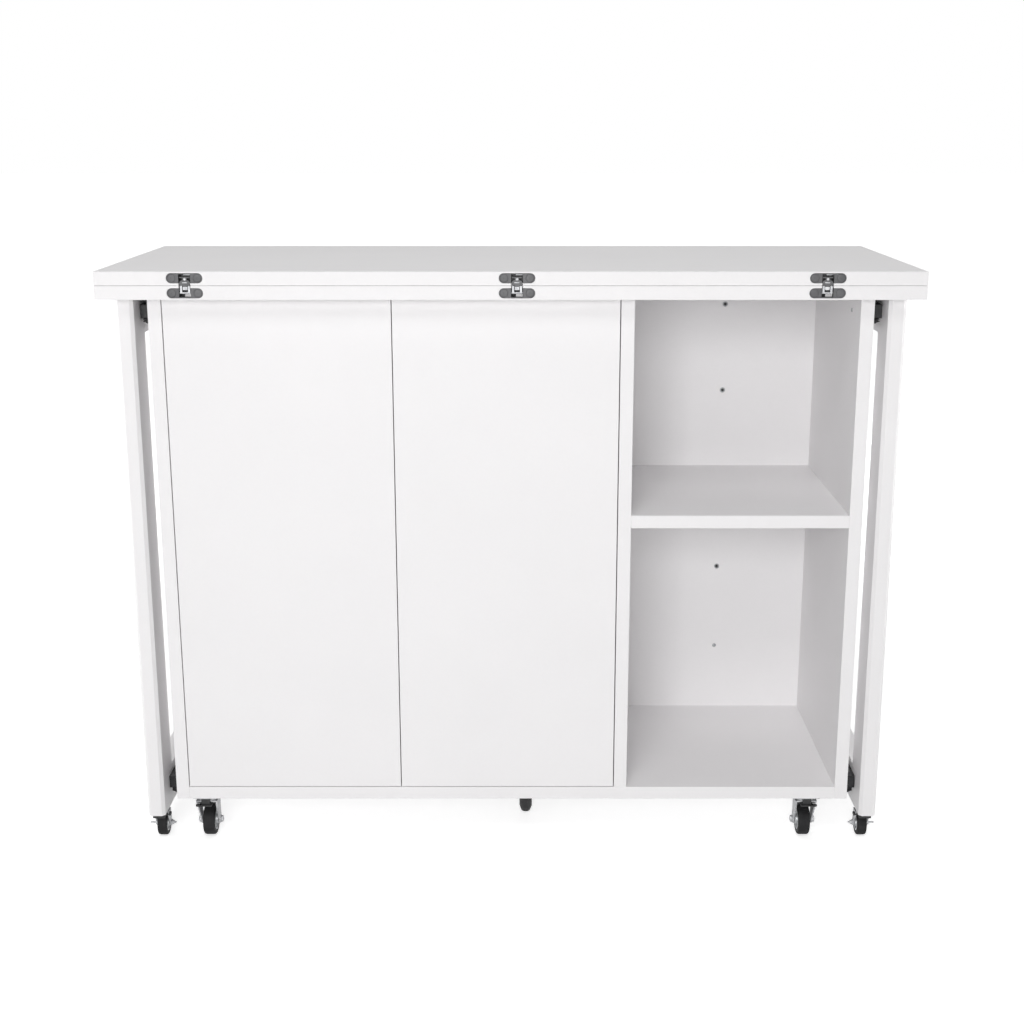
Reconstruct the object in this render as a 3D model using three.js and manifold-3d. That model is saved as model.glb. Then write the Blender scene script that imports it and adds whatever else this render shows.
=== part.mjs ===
// Drop leaf kitchen island on casters: a painted board cabinet with two doors and two open
// compartments, a fixed top with a fold-over leaf, and two pull-out frames that carry the leaf.
// Millimetres. +X right, +Y away from the seating side, +Z up.
// Origin: on the floor, under the middle of the table top.

import * as THREE from 'three';
import { mergeVertices } from 'three/addons/utils/BufferGeometryUtils.js';
import Module from 'manifold-3d';

const wasm = await Module();
wasm.setup();

// ---------------------------------------------------------------- driving dimensions

const clearance = 0.3; // between pieces that fit into one another
const cutReach = 1; // how far a cut runs past a face, or a joined shape into its neighbour
const weldTolerance = 1e-4;

// table top: a fixed slab and a leaf of the same size, folded face down onto it
const topWidth = 1200;
const topDepth = 454;
const slabThickness = 20;
const slabGap = 0.5;

// cabinet carcass
const sideOverhang = 68; // table end beyond the cabinet's side
const cabinetDepth = 379;
const cabinetHeight = 794;
const cabinetBase = 79; // underside above the floor
const frontOverhang = 30; // table edge ahead of the cabinet
const boardThickness = 20;
const backThickness = 15;
const bayDepth = 345; // front plane to the back panel
const openBayWidth = 330.5;
const shelfHeight = 524; // underside of the open shelf above the floor
const innerShelfHeight = 480;
const innerShelfSetback = 45; // behind the front plane
const railDepth = 80;

// doors
const doorThickness = 18;
const doorGap = 1.5;
const doorTopGap = 2.5;
const doorHingeInset = 100; // hinge centre from the door's top or bottom edge
const doorPlay = 0.5; // behind the door

// concealed door hinges
const cupRadius = 17;
const cupDepth = 11;
const cupWall = 1.2;
const cupEdgeDistance = 22; // cup centre from the door's hinge edge
const cupFlangeRadius = 19.5;
const cupFlangeThickness = 1;
const armPlateThickness = 2.5;
const armPlateHeight = 48;
const armPlateDepth = 50;
const armHeight = 14;
const armProjection = 14; // from the board
const armNoseReach = 20; // from the board
const armNoseThickness = 6;
const armPlateSetback = 6; // plate behind the arm's nose

// table hinges, let into the front edges of both slabs
const hingeInset = { left: 131, right: 144 }; // hinge centre from the slab's end
const middleHingeOffset = 9; // to the right of the middle
const hingeWidth = 52;
const hingeHeight = 14;
const hingeDepth = 20.5;
const hingeOffset = 10.5; // body centre from the joint face
const hingePocketWidth = 17;
const hingePocketDepth = 18.5;
const hingeWall = 2;
const linkWidth = 15;
const linkThickness = 5;
const linkPinDepth = 6; // pin centre behind the slab edge
const linkPinRadius = 1.5;
const linkWindow = 6;
const linkSlotDepth = 12;

// pull-out frames
const frameThickness = 26.5;
const frameGap = 20.5; // cabinet side to frame
const frameBase = 50; // underside above the floor
const frameTopGap = 1; // below the table slab
const frameLead = 3; // frame ahead of the cabinet front
const frameDepth = 380;
const stileWidth = 64;
const topRailHeight = 58;
const bottomRailHeight = 64;
const frameChamfer = 5;

// telescopic slides
const slideSetback = 42; // behind the front of the frame
const slideHeight = 36;
const channelDepth = 12;
const channelWall = 1.5;
const channelLip = 5;
const upperSlideDrop = 24; // slide centre below the frame's top
const lowerSlideRise = 40; // slide centre above the frame's underside
const runnerHeight = 20;

// casters under the cabinet
const casterInset = { left: 43.5, right: 61.5 }; // swivel axis from the cabinet's outer face
const casterSetback = 25.5; // swivel axis from the cabinet's front or back
const casterTrail = 15;
const casterPlateSize = 44;
const casterPlateThickness = 2.5;
const casterPlateCorner = 5;
const raceRadius = 15;
const raceHeight = 4;
const kingPinRadius = 4;
const kingPinHeadRadius = 6;
const kingPinHeadHeight = 1.2;

// casters under the frames
const frameCasterTrail = 9;
const frameCasterSetback = 32; // swivel axis from the front of the frame
const frameCasterInset = 14.5; // swivel axis from the frame's outer face
const stemRadius = 4.5;
const stemLength = 30;

// every caster wheel and fork, by kind
const cabinetWheel = {
  radius: 25,
  width: 19,
  hubWidth: 24,
  hubRadius: 8,
  boreRadius: 4.3,
  rimRadius: 16.5,
  rimRecess: 3,
  rimSlope: 1,
  shoulder: 3,
};
const cabinetFork = {
  headRadius: 17,
  headThickness: 2.5,
  bridgeHalfDepth: 14,
  bridgeThickness: 2.5,
  armThickness: 2.5,
  armGap: 13,
  axleRadius: 4,
  axleEndRadius: 7,
  boltRadius: 6,
  boltLength: 5,
};
const frameWheel = {
  radius: 20,
  width: 15.5,
  hubWidth: 18.4,
  hubRadius: 6,
  boreRadius: 2.8,
  rimRadius: 13,
  rimRecess: 2.5,
  rimSlope: 1,
  shoulder: 2.5,
};
const frameFork = {
  headRadius: 9,
  headThickness: 3,
  bridgeHalfDepth: 8.5,
  bridgeThickness: 2.5,
  armThickness: 2,
  armGap: 9.7,
  axleRadius: 2.5,
  axleEndRadius: 5.5,
  boltRadius: 4.5,
  boltLength: 7,
};

// facets of round surfaces
const wheelSegments = 24;
const rodSegments = 14;
const cupSegments = 24;
const endSegments = 6; // on each round end of a flat bar
const cornerSegments = 3;

// foot-operated brakes on the front casters
const cabinetBrake = {
  pinDepth: 7,
  pinDrop: 15.5,
  pinRadius: 2,
  front: 24,
  back: 3,
  thickness: 3,
  tab: 16,
};
const frameBrake = {
  pinDepth: 5,
  pinDrop: 8.2,
  pinRadius: 1,
  front: 15,
  back: 2,
  thickness: 2,
  tab: 10,
};

// centre foot
const footPosition = { x: 22, fromFront: 123 };
const footPlateRadius = 20;
const footPlateThickness = 3;
const footRadius = 10.5;
const footTipRadius = 7.5;
const footTipHeight = 9;
const footFloorGap = 1;

// ---------------------------------------------------------------- derived places

const topFront = -topDepth / 2;
const topBack = topDepth / 2;
const topHalf = topWidth / 2;
const hingePositions = {
  left: -topHalf + hingeInset.left,
  middle: middleHingeOffset,
  right: topHalf - hingeInset.right,
};
const cabinetTop = cabinetBase + cabinetHeight;
const jointFace = cabinetTop + slabThickness;
const leafBase = jointFace + slabGap;
const cabinetHalf = topHalf - sideOverhang;
const cabinetFront = topFront + frontOverhang;
const cabinetBack = cabinetFront + cabinetDepth;
const sideInner = cabinetHalf - boardThickness;
const floorTop = cabinetBase + boardThickness;
const backFace = cabinetFront + bayDepth;
const openBayLeft = sideInner - openBayWidth;
const dividerLeft = openBayLeft - boardThickness;
const doorBack = cabinetFront + doorThickness;
const doorBottom = floorTop + doorGap;
const doorTop = cabinetTop - doorTopGap;
const doorSplit = (dividerLeft - sideInner) / 2;
const frameInner = cabinetHalf + frameGap;
const frameOuter = frameInner + frameThickness;
const frameFront = cabinetFront - frameLead;
const frameBack = frameFront + frameDepth;
const frameTop = cabinetTop - frameTopGap;
const slideFront = frameFront + slideSetback;

const looks = {
  paint: { color: 0xf0eeef, roughness: 0.5, metalness: 0 },
  zinc: { color: 0xb9bcc0, roughness: 0.35, metalness: 0.9 },
  cap: { color: 0x6b6b6d, roughness: 0.5, metalness: 0.4 },
  blackSteel: { color: 0x17181a, roughness: 0.45, metalness: 0.5 },
  blackPlastic: { color: 0x1c1d1f, roughness: 0.55, metalness: 0 },
  tyre: { color: 0x2a2b2d, roughness: 0.7, metalness: 0 },
};

// ---------------------------------------------------------------- shape helpers

// Shares the vertices of a closed shape, drops collapsed faces and turns all faces outward.
function weld(geometry) {
  const bare = geometry.clone();
  bare.deleteAttribute('normal');
  bare.deleteAttribute('uv');
  const merged = mergeVertices(bare, weldTolerance);
  const point = merged.attributes.position;
  const index = merged.index.array;
  const faces = [];
  let volume = 0;
  for (let i = 0; i < index.length; i += 3) {
    const [a, b, c] = [index[i], index[i + 1], index[i + 2]];
    if (a !== b && b !== c && c !== a) {
      faces.push([a, b, c]);
      const corners = [a, b, c].map((k) => new THREE.Vector3().fromBufferAttribute(point, k));
      volume += corners[0].dot(corners[1].cross(corners[2]));
    }
  }
  const outward = volume > 0 ? faces : faces.map(([a, b, c]) => [a, c, b]);
  merged.setIndex(outward.flat());
  merged.computeVertexNormals();
  return merged;
}

function toManifold(geometry) {
  const welded = weld(geometry);
  const vertProperties = new Float32Array(welded.attributes.position.array);
  const triVerts = new Uint32Array(welded.index.array);
  return new wasm.Manifold(new wasm.Mesh({ numProp: 3, vertProperties, triVerts }));
}

function toGeometry(manifold) {
  const mesh = manifold.getMesh();
  const geometry = new THREE.BufferGeometry();
  geometry.setAttribute('position', new THREE.BufferAttribute(new Float32Array(mesh.vertProperties), 3));
  geometry.setIndex(new THREE.BufferAttribute(new Uint32Array(mesh.triVerts), 1));
  geometry.computeVertexNormals();
  return geometry;
}

// Joins the first shapes into one and takes the second ones away.
function carve(joined, removed = []) {
  const [first, ...rest] = joined.map(toManifold);
  const whole = rest.reduce((sum, next) => sum.add(next), first);
  return toGeometry(removed.map(toManifold).reduce((left, next) => left.subtract(next), whole));
}

// An upright box from its lowest to its highest corner.
function block([x0, x1], [y0, y1], [z0, z1]) {
  const geometry = new THREE.BoxGeometry(x1 - x0, y1 - y0, z1 - z0);
  return geometry.translate((x0 + x1) / 2, (y0 + y1) / 2, (z0 + z1) / 2);
}

function extrusion(shape, depth, curveSegments = endSegments) {
  return new THREE.ExtrudeGeometry(shape, { depth, curveSegments, bevelEnabled: false });
}

// A flat outline in Y and Z made solid from x0 to x1.
function prismX(shape, x0, x1) {
  const geometry = extrusion(shape, Math.abs(x1 - x0));
  const turn = new THREE.Matrix4().makeBasis(
    new THREE.Vector3(0, 1, 0),
    new THREE.Vector3(0, 0, 1),
    new THREE.Vector3(1, 0, 0),
  );
  return geometry.applyMatrix4(turn).translate(Math.min(x0, x1), 0, 0);
}

// A flat outline in X and Z made solid from y0 to y1.
function prismY(shape, y0, y1) {
  return extrusion(shape, y1 - y0).rotateX(Math.PI / 2).translate(0, y1, 0);
}

function prismZ(shape, z0, z1) {
  return extrusion(shape, z1 - z0, cornerSegments).translate(0, 0, z0);
}

function rodX(radius, x0, x1, y, z) {
  const rod = new THREE.CylinderGeometry(radius, radius, Math.abs(x1 - x0), rodSegments);
  return rod.rotateZ(Math.PI / 2).translate((x0 + x1) / 2, y, z);
}

function rodY(radius, y0, y1, x, z) {
  const rod = new THREE.CylinderGeometry(radius, radius, y1 - y0, cupSegments);
  return rod.translate(x, (y0 + y1) / 2, z);
}

function rodZ(radius, z0, z1, x = 0, y = 0) {
  const rod = new THREE.CylinderGeometry(radius, radius, z1 - z0, rodSegments);
  return rod.rotateX(Math.PI / 2).translate(x, y, (z0 + z1) / 2);
}

function outline(points) {
  return new THREE.Shape(points.map(([u, v]) => new THREE.Vector2(u, v)));
}

function rectangle([u0, u1], [v0, v1]) {
  return [[u0, v0], [u1, v0], [u1, v1], [u0, v1]];
}

// A bar with round ends, centred on (u, v).
function obround(u, v, width, height) {
  const radius = height / 2;
  const reach = width / 2 - radius;
  const shape = new THREE.Shape();
  shape.absarc(u + reach, v, radius, -Math.PI / 2, Math.PI / 2, false);
  shape.absarc(u - reach, v, radius, Math.PI / 2, (3 * Math.PI) / 2, false);
  return shape;
}

function roundedSquare(size, corner) {
  const half = size / 2;
  const reach = half - corner;
  const shape = new THREE.Shape();
  shape.absarc(reach, reach, corner, 0, Math.PI / 2, false);
  shape.absarc(-reach, reach, corner, Math.PI / 2, Math.PI, false);
  shape.absarc(-reach, -reach, corner, Math.PI, 1.5 * Math.PI, false);
  shape.absarc(reach, -reach, corner, 1.5 * Math.PI, 2 * Math.PI, false);
  return shape;
}

function piece(parent, name, geometry, look) {
  const mesh = new THREE.Mesh(geometry, new THREE.MeshStandardMaterial(look));
  mesh.name = name;
  parent.add(mesh);
  return mesh;
}

// ---------------------------------------------------------------- table top

// The room that each hinge takes in a slab edge: side is -1 below the joint and +1 above it.
function hingePocket(x, side, face) {
  const centre = face + side * hingeOffset;
  const width = hingeWidth + 2 * clearance;
  const height = hingeHeight + 2 * clearance;
  const pocketDepth = hingeDepth + clearance;
  const front = topFront - cutReach;
  const body = prismY(obround(x, centre, width, height), front, topFront + pocketDepth);
  const halfSlot = hingePocketWidth / 2;
  const slotEnds = [centre, face - side * cutReach].sort((a, b) => a - b);
  const slot = block([x - halfSlot, x + halfSlot], [front, topFront + linkSlotDepth], slotEnds);
  return [body, slot];
}

function slab(base, side, face) {
  const board = block([-topHalf, topHalf], [topFront, topBack], [base, base + slabThickness]);
  const pockets = Object.values(hingePositions).flatMap((x) => hingePocket(x, side, face));
  return carve([board], pockets);
}

function tableTop(parent) {
  piece(parent, 'fixed_top', slab(cabinetTop, -1, jointFace), looks.paint);
  piece(parent, 'leaf', slab(leafBase, 1, leafBase), looks.paint);
}

// ---------------------------------------------------------------- table hinges

// A hinge body with its pocket open to the front and towards the joint face.
function hingeBody(x, side, face) {
  const centre = face + side * hingeOffset;
  const body = prismY(obround(x, centre, hingeWidth, hingeHeight), topFront, topFront + hingeDepth);
  const halfPocket = hingePocketWidth / 2;
  const wallFace = centre + side * (hingeHeight / 2 - hingeWall);
  const pocketEnds = [wallFace, face].sort((a, b) => a - b);
  const pocketDepths = [topFront - cutReach, topFront + hingePocketDepth];
  const pocket = block([x - halfPocket, x + halfPocket], pocketDepths, pocketEnds);
  return { body, pocket, centre };
}

function fixedHinge(x) {
  const { body, pocket, centre } = hingeBody(x, -1, jointFace);
  const reach = hingePocketWidth / 2 + cutReach;
  const pin = rodX(linkPinRadius, x - reach, x + reach, topFront + linkPinDepth, centre);
  const hollow = toGeometry(toManifold(body).subtract(toManifold(pocket)));
  return carve([hollow, pin]);
}

function leafHinge(x) {
  const { body, pocket } = hingeBody(x, 1, leafBase);
  return carve([body], [pocket]);
}

function hingeLink(x) {
  const pinY = topFront + linkPinDepth;
  const pinZ = jointFace - hingeOffset;
  const tipZ = leafBase + hingeOffset;
  const middle = (pinZ + tipZ) / 2;
  const length = tipZ - pinZ + linkThickness;
  const flat = obround(0, 0, length, linkThickness);
  const upright = prismX(flat, -linkWidth / 2, linkWidth / 2).rotateX(Math.PI / 2);
  const bar = upright.translate(x, pinY, middle);
  const bore = rodX(linkPinRadius + clearance, x - linkWidth, x + linkWidth, pinY, pinZ);
  const windowEnds = [pinZ + linkThickness, jointFace];
  const windowWidth = [x - linkWindow / 2, x + linkWindow / 2];
  const window = block(windowWidth, [pinY - linkThickness, pinY + linkThickness], windowEnds);
  return carve([bar], [bore, window]);
}

function tableHinges(parent) {
  for (const [place, x] of Object.entries(hingePositions)) {
    piece(parent, `table_hinge_${place}_fixed_body`, fixedHinge(x), looks.cap);
    piece(parent, `table_hinge_${place}_leaf_body`, leafHinge(x), looks.cap);
    piece(parent, `table_hinge_${place}_link`, hingeLink(x), looks.zinc);
  }
}

// ---------------------------------------------------------------- cabinet

function cabinet(parent) {
  const fullDepth = [cabinetFront, cabinetBack];
  const fullHeight = [cabinetBase, cabinetTop];
  const aboveFloor = [floorTop, cabinetTop];
  const insideDepth = [cabinetFront, backFace];
  const doorBay = [-sideInner, dividerLeft];
  const railFront = doorBack + doorPlay;
  const boards = {
    side_left: [[-cabinetHalf, -sideInner], fullDepth, fullHeight],
    side_right: [[sideInner, cabinetHalf], fullDepth, fullHeight],
    bottom_panel: [[-sideInner, sideInner], fullDepth, [cabinetBase, floorTop]],
    back_panel: [[-sideInner, sideInner], [backFace, backFace + backThickness], aboveFloor],
    divider: [[dividerLeft, openBayLeft], insideDepth, aboveFloor],
    open_shelf: [[openBayLeft, sideInner], insideDepth, [shelfHeight, shelfHeight + boardThickness]],
    inner_shelf: [
      doorBay,
      [cabinetFront + innerShelfSetback, backFace],
      [innerShelfHeight, innerShelfHeight + boardThickness],
    ],
    top_rail: [doorBay, [railFront, railFront + railDepth], [cabinetTop - boardThickness, cabinetTop]],
  };
  for (const [name, spans] of Object.entries(boards)) {
    piece(parent, name, block(...spans), looks.paint);
  }
}

// ---------------------------------------------------------------- doors

const doorHingeHeights = { lower: doorBottom + doorHingeInset, upper: doorTop - doorHingeInset };

// hand is +1 for a door hinged at its left and -1 for one hinged at its right.
const doors = {
  left: { hand: 1, board: -sideInner, span: [-sideInner + doorGap, doorSplit - doorGap / 2] },
  right: { hand: -1, board: dividerLeft, span: [doorSplit + doorGap / 2, dividerLeft - doorGap] },
};

function cupCentre({ hand, span }) {
  const hingeEdge = hand > 0 ? span[0] : span[1];
  return hingeEdge + hand * cupEdgeDistance;
}

function doorBoard(door) {
  const board = block(door.span, [cabinetFront, doorBack], [doorBottom, doorTop]);
  const boreBase = doorBack - cupDepth - clearance;
  const bores = Object.values(doorHingeHeights).map((z) =>
    rodY(cupRadius + clearance, boreBase, doorBack + cutReach, cupCentre(door), z),
  );
  return carve([board], bores);
}

function hingeCup(door, z) {
  const x = cupCentre(door);
  const dish = rodY(cupRadius, doorBack - cupDepth, doorBack, x, z);
  const flange = rodY(cupFlangeRadius, doorBack, doorBack + cupFlangeThickness, x, z);
  const dishBase = doorBack - cupDepth + cupWall;
  const rim = doorBack + cupFlangeThickness + cutReach;
  const hollow = rodY(cupRadius - cupWall, dishBase, rim, x, z);
  return carve([dish, flange], [hollow]);
}

function hingeArm({ hand, board }, z) {
  const noseFront = doorBack + cupFlangeThickness + doorPlay;
  const plateFront = noseFront + armPlateSetback;
  const armBack = plateFront + armPlateDepth - armPlateSetback;
  const span = (reach) => [board, board + hand * reach].sort((a, b) => a - b);
  const heights = (height) => [z - height / 2, z + height / 2];
  const plateDepths = [plateFront, plateFront + armPlateDepth];
  const noseDepths = [noseFront, noseFront + armNoseThickness];
  const plate = block(span(armPlateThickness), plateDepths, heights(armPlateHeight));
  const arm = block(span(armProjection), [noseFront, armBack], heights(armHeight));
  const nose = block(span(armNoseReach), noseDepths, heights(armHeight));
  return carve([plate, arm, nose]);
}

function doorSet(parent) {
  for (const [place, door] of Object.entries(doors)) {
    piece(parent, `door_${place}`, doorBoard(door), looks.paint);
    for (const [level, z] of Object.entries(doorHingeHeights)) {
      piece(parent, `door_${place}_hinge_cup_${level}`, hingeCup(door, z), looks.zinc);
      piece(parent, `door_${place}_hinge_arm_${level}`, hingeArm(door, z), looks.zinc);
    }
  }
}

// ---------------------------------------------------------------- pull-out frames and slides

// Outline in Y and Z with the opening left out; the chamfers run down the front stile.
function supportFrame(side) {
  const silhouette = outline(rectangle([frameFront, frameBack], [frameBase, frameTop]));
  const openingDepth = [frameFront + stileWidth, frameBack - stileWidth];
  const openingHeight = [frameBase + bottomRailHeight, frameTop - topRailHeight];
  silhouette.holes.push(outline(rectangle(openingDepth, openingHeight)));
  const board = prismX(silhouette, side * frameInner, side * frameOuter);
  const chamfers = [frameInner, frameOuter].map((edge, i) => {
    const inward = i === 0 ? 1 : -1;
    const wedge = [
      [edge - inward * cutReach, frameFront - cutReach],
      [edge + inward * frameChamfer, frameFront - cutReach],
      [edge + inward * frameChamfer, frameFront],
      [edge, frameFront + frameChamfer],
      [edge - inward * cutReach, frameFront + frameChamfer],
    ];
    const shape = outline(wedge.map(([x, y]) => [side * x, y]));
    return prismZ(shape, frameBase - cutReach, frameTop + cutReach);
  });
  const stemX = side * (frameOuter - frameCasterInset);
  const stemY = frameFront + frameCasterSetback;
  const socketTop = frameBase + stemLength + clearance;
  const socket = rodZ(stemRadius + clearance, frameBase - cutReach, socketTop, stemX, stemY);
  return carve([board], [...chamfers, socket]);
}

// The channel screwed to the cabinet side, open towards the frame.
function slideChannel(side, centre) {
  const x = (reach) => side * (cabinetHalf + reach);
  const half = slideHeight / 2;
  const inner = half - channelWall;
  const lip = half - channelLip;
  const profile = [
    [x(0), centre - half],
    [x(channelDepth), centre - half],
    [x(channelDepth), centre - lip],
    [x(channelDepth - channelWall), centre - lip],
    [x(channelDepth - channelWall), centre - inner],
    [x(channelWall), centre - inner],
    [x(channelWall), centre + inner],
    [x(channelDepth - channelWall), centre + inner],
    [x(channelDepth - channelWall), centre + lip],
    [x(channelDepth), centre + lip],
    [x(channelDepth), centre + half],
    [x(0), centre + half],
  ];
  return prismY(outline(profile), slideFront, frameBack);
}

// The runner screwed to the frame: its wide back is held behind the channel's lips.
function slideRunner(side, centre) {
  const x = (reach) => side * (cabinetHalf + reach);
  const half = runnerHeight / 2;
  const held = slideHeight / 2 - channelWall - clearance;
  const heldBack = channelWall + clearance;
  const heldFront = channelDepth - channelWall - clearance;
  const profile = [
    [x(heldBack), centre - held],
    [x(heldFront), centre - held],
    [x(heldFront), centre - half],
    [x(frameGap), centre - half],
    [x(frameGap), centre + half],
    [x(heldFront), centre + half],
    [x(heldFront), centre + held],
    [x(heldBack), centre + held],
  ];
  return prismY(outline(profile), slideFront, frameBack);
}

function pullOuts(parent) {
  const sides = { left: -1, right: 1 };
  const levels = { upper: frameTop - upperSlideDrop, lower: frameBase + lowerSlideRise };
  for (const [place, side] of Object.entries(sides)) {
    piece(parent, `frame_${place}`, supportFrame(side), looks.paint);
    for (const [level, centre] of Object.entries(levels)) {
      piece(parent, `slide_${place}_${level}_channel`, slideChannel(side, centre), looks.blackSteel);
      piece(parent, `slide_${place}_${level}_runner`, slideRunner(side, centre), looks.blackSteel);
    }
  }
}

// ---------------------------------------------------------------- casters

// A wheel about the X axis, its profile given as axial place and radius.
function wheel(size, y, z) {
  const half = size.width / 2;
  const web = half - size.rimRecess;
  const hub = size.hubWidth / 2;
  const right = [
    [half - size.shoulder, size.radius],
    [half, size.radius - size.shoulder],
    [half, size.rimRadius],
    [web, size.rimRadius - size.rimSlope],
    [web, size.hubRadius],
    [hub, size.hubRadius],
    [hub, size.boreRadius],
  ];
  const left = right.map(([axial, radius]) => [-axial, radius]).reverse();
  const loop = [...left, ...right, left[0]];
  const profile = loop.map(([axial, radius]) => new THREE.Vector2(radius, axial));
  const turned = new THREE.LatheGeometry(profile, wheelSegments);
  return weld(turned.rotateZ(-Math.PI / 2).translate(0, y, z));
}

// One arm of a fork: wide at the bridge, round at the axle.
function forkArm(fork, x0, x1, top, axle) {
  const shape = new THREE.Shape();
  shape.moveTo(fork.bridgeHalfDepth, top);
  shape.lineTo(-fork.bridgeHalfDepth, top);
  shape.lineTo(axle.y - fork.axleEndRadius, axle.z);
  shape.absarc(axle.y, axle.z, fork.axleEndRadius, Math.PI, 2 * Math.PI, false);
  shape.closePath();
  return prismX(shape, x0, x1);
}

// Head, bridge, both arms and the axle bolt; outer is the side of the plain bolt head.
function forkShapes(fork, top, axle) {
  const bridgeBase = top - fork.headThickness - fork.bridgeThickness;
  const bridgeTop = top - fork.headThickness;
  const armOuter = fork.armGap + fork.armThickness;
  const depth = [-fork.bridgeHalfDepth, fork.bridgeHalfDepth];
  const head = rodZ(fork.headRadius, bridgeTop - cutReach, top);
  const bridge = block([-armOuter, armOuter], depth, [bridgeBase, bridgeTop]);
  const arms = [-1, 1].map((s) => forkArm(fork, s * fork.armGap, s * armOuter, bridgeTop, axle));
  const boltEnd = armOuter + fork.boltLength;
  const boltStart = armOuter - cutReach;
  const axleBolt = rodX(fork.axleRadius, -armOuter, armOuter, axle.y, axle.z);
  const boltHead = (s) => rodX(fork.boltRadius, s * boltStart, s * boltEnd, axle.y, axle.z);
  const heads = [-1, 1].map(boltHead);
  return { joined: [head, bridge, ...arms, axleBolt, ...heads], bridgeBase };
}

// The pedal reaches past the fork on the outer side (+1 right, -1 left) and turns on its pin.
function brakePedal(brake, fork, outer) {
  const inner = fork.armGap - clearance;
  const armFront = -fork.bridgeHalfDepth - clearance;
  const half = brake.thickness / 2;
  const heights = [-brake.pinDrop - half, -brake.pinDrop + half];
  const plate = block([-inner, inner], [-brake.front, brake.back - brake.pinDepth], heights);
  const tabEnds = [0, outer * brake.tab].sort((a, b) => a - b);
  const tab = block(tabEnds, [-brake.front, armFront], heights);
  const pinReach = fork.armGap + fork.armThickness;
  const pin = rodX(brake.pinRadius, -pinReach, pinReach, -brake.pinDepth, -brake.pinDrop);
  return carve([plate, tab, pin]);
}

function brakePinHole(brake, fork) {
  const reach = fork.armGap + fork.armThickness + cutReach;
  return rodX(brake.pinRadius + clearance, -reach, reach, -brake.pinDepth, -brake.pinDrop);
}

// Mounting plate with the ball race under it and the king pin that holds the fork.
function casterPlate(pinBase) {
  const plateBase = -casterPlateThickness;
  const plate = prismZ(roundedSquare(casterPlateSize, casterPlateCorner), plateBase, 0);
  const race = rodZ(raceRadius, plateBase - raceHeight, plateBase + cutReach);
  const pin = rodZ(kingPinRadius, pinBase - kingPinHeadHeight, plateBase);
  const head = rodZ(kingPinHeadRadius, pinBase - kingPinHeadHeight, pinBase);
  return carve([plate, race, pin, head]);
}

// Origin of the group: the swivel axis on the cabinet's underside.
function cabinetCaster(parent, name, x, y, outer, braked) {
  const group = new THREE.Group();
  group.position.set(x, y, cabinetBase);
  parent.add(group);
  const axle = { y: casterTrail, z: cabinetWheel.radius - cabinetBase };
  const top = -casterPlateThickness - raceHeight - clearance;
  const { joined, bridgeBase } = forkShapes(cabinetFork, top, axle);
  const pinHole = rodZ(kingPinRadius + clearance, bridgeBase - cutReach, top + cutReach);
  const holes = braked ? [pinHole, brakePinHole(cabinetBrake, cabinetFork)] : [pinHole];
  piece(group, `caster_${name}_plate`, casterPlate(bridgeBase - clearance), looks.zinc);
  piece(group, `caster_${name}_fork`, carve(joined, holes), looks.zinc);
  piece(group, `caster_${name}_wheel`, wheel(cabinetWheel, axle.y, axle.z), looks.tyre);
  if (braked) {
    const pedal = brakePedal(cabinetBrake, cabinetFork, outer);
    piece(group, `caster_${name}_brake`, pedal, looks.blackPlastic);
  }
}

// Origin of the group: the swivel axis on the frame's underside.
function frameCaster(parent, name, side) {
  const group = new THREE.Group();
  const y = frameFront + frameCasterSetback;
  group.position.set(side * (frameOuter - frameCasterInset), y, frameBase);
  parent.add(group);
  const axle = { y: frameCasterTrail, z: frameWheel.radius - frameBase };
  const { joined } = forkShapes(frameFork, -clearance, axle);
  const stem = rodZ(stemRadius, -cutReach, stemLength);
  const holes = [brakePinHole(frameBrake, frameFork)];
  const pedal = brakePedal(frameBrake, frameFork, side);
  piece(group, `caster_${name}_fork`, carve([...joined, stem], holes), looks.zinc);
  piece(group, `caster_${name}_wheel`, wheel(frameWheel, axle.y, axle.z), looks.tyre);
  piece(group, `caster_${name}_brake`, pedal, looks.blackPlastic);
}

function casters(parent) {
  const rows = { front: cabinetFront + casterSetback, rear: cabinetBack - casterSetback };
  for (const [row, y] of Object.entries(rows)) {
    const braked = row === 'front';
    cabinetCaster(parent, `${row}_left`, -cabinetHalf + casterInset.left, y, -1, braked);
    cabinetCaster(parent, `${row}_right`, cabinetHalf - casterInset.right, y, 1, braked);
  }
  frameCaster(parent, 'frame_left', -1);
  frameCaster(parent, 'frame_right', 1);
}

// ---------------------------------------------------------------- centre foot

function centreFoot(parent) {
  const profile = [
    [0, footFloorGap],
    [footTipRadius, footFloorGap],
    [footRadius, footFloorGap + footTipHeight],
    [footRadius, cabinetBase - footPlateThickness],
    [footPlateRadius, cabinetBase - footPlateThickness],
    [footPlateRadius, cabinetBase],
    [0, cabinetBase],
  ];
  const points = profile.map(([radius, z]) => new THREE.Vector2(radius, z));
  const turned = new THREE.LatheGeometry(points, wheelSegments).rotateX(Math.PI / 2);
  const y = cabinetFront + footPosition.fromFront;
  piece(parent, 'centre_foot', weld(turned.translate(footPosition.x, y, 0)), looks.blackPlastic);
}

// ---------------------------------------------------------------- assembly

const island = new THREE.Group();
tableTop(island);
tableHinges(island);
cabinet(island);
doorSet(island);
pullOuts(island);
casters(island);
centreFoot(island);

export default island;
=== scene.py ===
import math

import bmesh
import bpy
from mathutils import Matrix, Vector


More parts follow.
